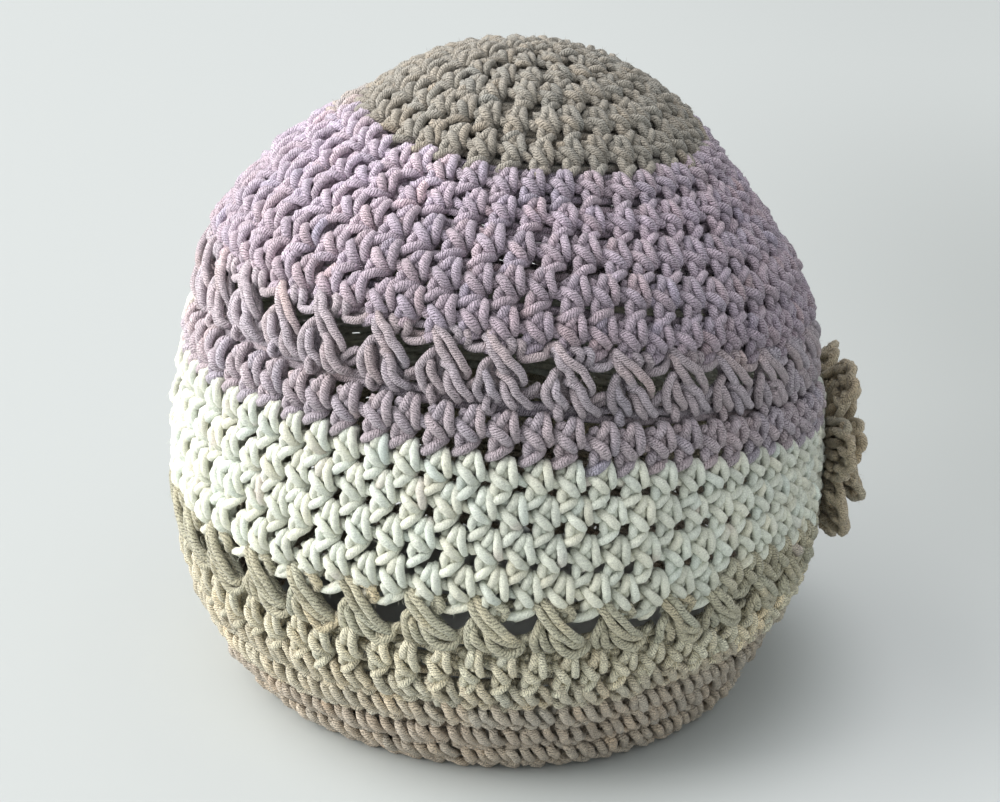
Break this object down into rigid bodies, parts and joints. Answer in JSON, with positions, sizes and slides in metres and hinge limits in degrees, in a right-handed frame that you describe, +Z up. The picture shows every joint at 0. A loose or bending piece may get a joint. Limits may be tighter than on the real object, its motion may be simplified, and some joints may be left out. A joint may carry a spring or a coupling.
{
  "type": "crochet beanie",
  "caption": "Slouchy crocheted beanie with openwork rounds, a plain round rim and a layered crochet flower sewn to one side.",
  "frame": {"origin": "centre of the whole part's box, at the floor that the rim rests on", "axes": "+Z up from the rim to the crown, +X to the side without the flower, the flower at -X, +Y to the side that hangs lower at the nape"},
  "size_m": [0.1982, 0.1962, 0.184],
  "materials": {
    "crown": "matte",
    "upper_body": "matte",
    "upper_crossed_round": "matte",
    "mauve_round": "matte",
    "white_band": "matte",
    "lower_crossed_round": "matte",
    "lower_body": "matte",
    "brim": "matte",
    "flower_outer_petals": "matte",
    "flower_inner_petals": "matte",
    "flower_centre": "matte"
  },
  "bodies": {
    "root": {"crown": "crown", "upper_body": "upper_body", "upper_crossed_round": "upper_crossed_round", "mauve_round": "mauve_round", "white_band": "white_band", "lower_crossed_round": "lower_crossed_round", "lower_body": "lower_body", "brim": "brim", "flower_outer_petals": "flower_outer_petals", "flower_inner_petals": "flower_inner_petals", "flower_centre": "flower_centre"}
  },
  "joints": []
}
